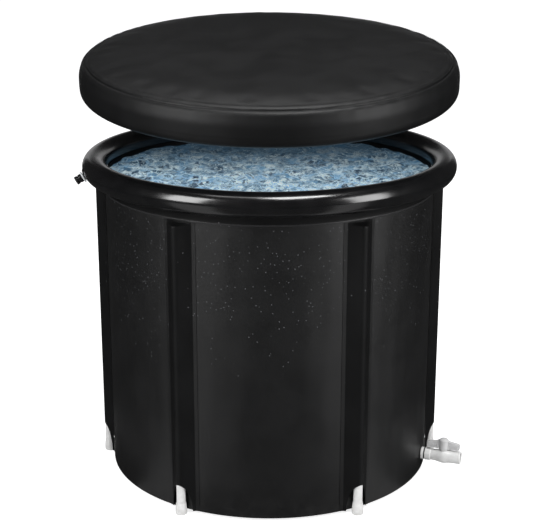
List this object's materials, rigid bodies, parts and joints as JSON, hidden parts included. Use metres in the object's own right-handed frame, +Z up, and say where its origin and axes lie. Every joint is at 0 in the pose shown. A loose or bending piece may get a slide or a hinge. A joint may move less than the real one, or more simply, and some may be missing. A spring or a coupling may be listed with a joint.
{
  "type": "cold plunge tub",
  "caption": "Round portable cold plunge tub: soft insulated wall on upright rods in pockets, inflatable rim with air valve, drain ball valve and a padded round lid.",
  "frame": {"origin": "on the floor at the tub's axis, the centre of the flat underside", "axes": "+Z up along the tub's axis, -Y towards the front, +X to the right seen from the front"},
  "size_m": [0.8855, 0.8572, 1.0154],
  "materials": {
    "outer_fabric": "black laminated fabric, satin",
    "ring_vinyl": "black glossy vinyl",
    "liner_vinyl": "dark coated fabric, semi-gloss",
    "foam": "closed-cell foam, matt",
    "white_pipe": "white moulded plastic",
    "lever_plastic": "pale grey moulded plastic",
    "seat_plastic": "smooth white plastic",
    "black_rubber": "black rubber, matt",
    "clear_vinyl": "cloudy clear vinyl",
    "lid_fabric": "black coated fabric over foam, satin"
  },
  "bodies": {
    "tub": {"outer_skin": "outer_fabric", "base_panel": "outer_fabric", "leg_pocket_1": "outer_fabric", "leg_pocket_2": "outer_fabric", "leg_pocket_3": "outer_fabric", "leg_pocket_4": "outer_fabric", "leg_pocket_5": "outer_fabric", "leg_pocket_6": "outer_fabric", "air_ring": "ring_vinyl", "ring_collar": "ring_vinyl", "air_valve_patch": "ring_vinyl", "inner_liner": "liner_vinyl", "wall_foam_1": "foam", "wall_foam_2": "foam", "wall_foam_3": "foam", "wall_foam_4": "foam", "wall_foam_5": "foam", "wall_foam_6": "foam", "base_foam": "foam", "support_rod_1": "white_pipe", "rod_foot_1": "white_pipe", "rod_top_plug_1": "white_pipe", "support_rod_2": "white_pipe", "rod_foot_2": "white_pipe", "rod_top_plug_2": "white_pipe", "support_rod_3": "white_pipe", "rod_foot_3": "white_pipe", "rod_top_plug_3": "white_pipe", "support_rod_4": "white_pipe", "rod_foot_4": "white_pipe", "rod_top_plug_4": "white_pipe", "support_rod_5": "white_pipe", "rod_foot_5": "white_pipe", "rod_top_plug_5": "white_pipe", "support_rod_6": "white_pipe", "rod_foot_6": "white_pipe", "rod_top_plug_6": "white_pipe", "drain_bulkhead": "white_pipe", "drain_locknut": "white_pipe", "valve_body": "white_pipe", "valve_retainer": "lever_plastic", "valve_seat_inlet": "seat_plastic", "valve_seat_outlet": "seat_plastic", "drain_inner_washer": "black_rubber", "drain_outer_washer": "black_rubber", "valve_washer": "black_rubber", "valve_stem_seal": "black_rubber", "air_valve_stem": "clear_vinyl", "air_valve_flap": "clear_vinyl"},
    "lid": {"lid_top_panel": "lid_fabric", "lid_side_band": "lid_fabric", "lid_base_panel": "lid_fabric", "lid_core": "foam"},
    "drain_lever": {"valve_handle": "lever_plastic", "valve_stem": "lever_plastic", "valve_ball": "seat_plastic"},
    "air_plug": {"air_valve_plug": "black_rubber"}
  },
  "joints": [
    {"name": "lid_lift", "type": "hinge", "parent": "tub", "child": "lid", "pos_m": [0, -1.187, 0.7455], "axis": [1, 0, 0], "range_deg": [-6.7, 12]},
    {"name": "drain_lever_turn", "type": "hinge", "parent": "tub", "child": "drain_lever", "pos_m": [0.40576, -0.13774, 0.046], "axis": [0, 0, 1], "range_deg": [-90, 0]},
    {"name": "air_plug_pull", "type": "slide", "parent": "tub", "child": "air_plug", "axis": [-0.8471, -0.1801, -0.5], "range_m": [0, 0.025]}
  ]
}
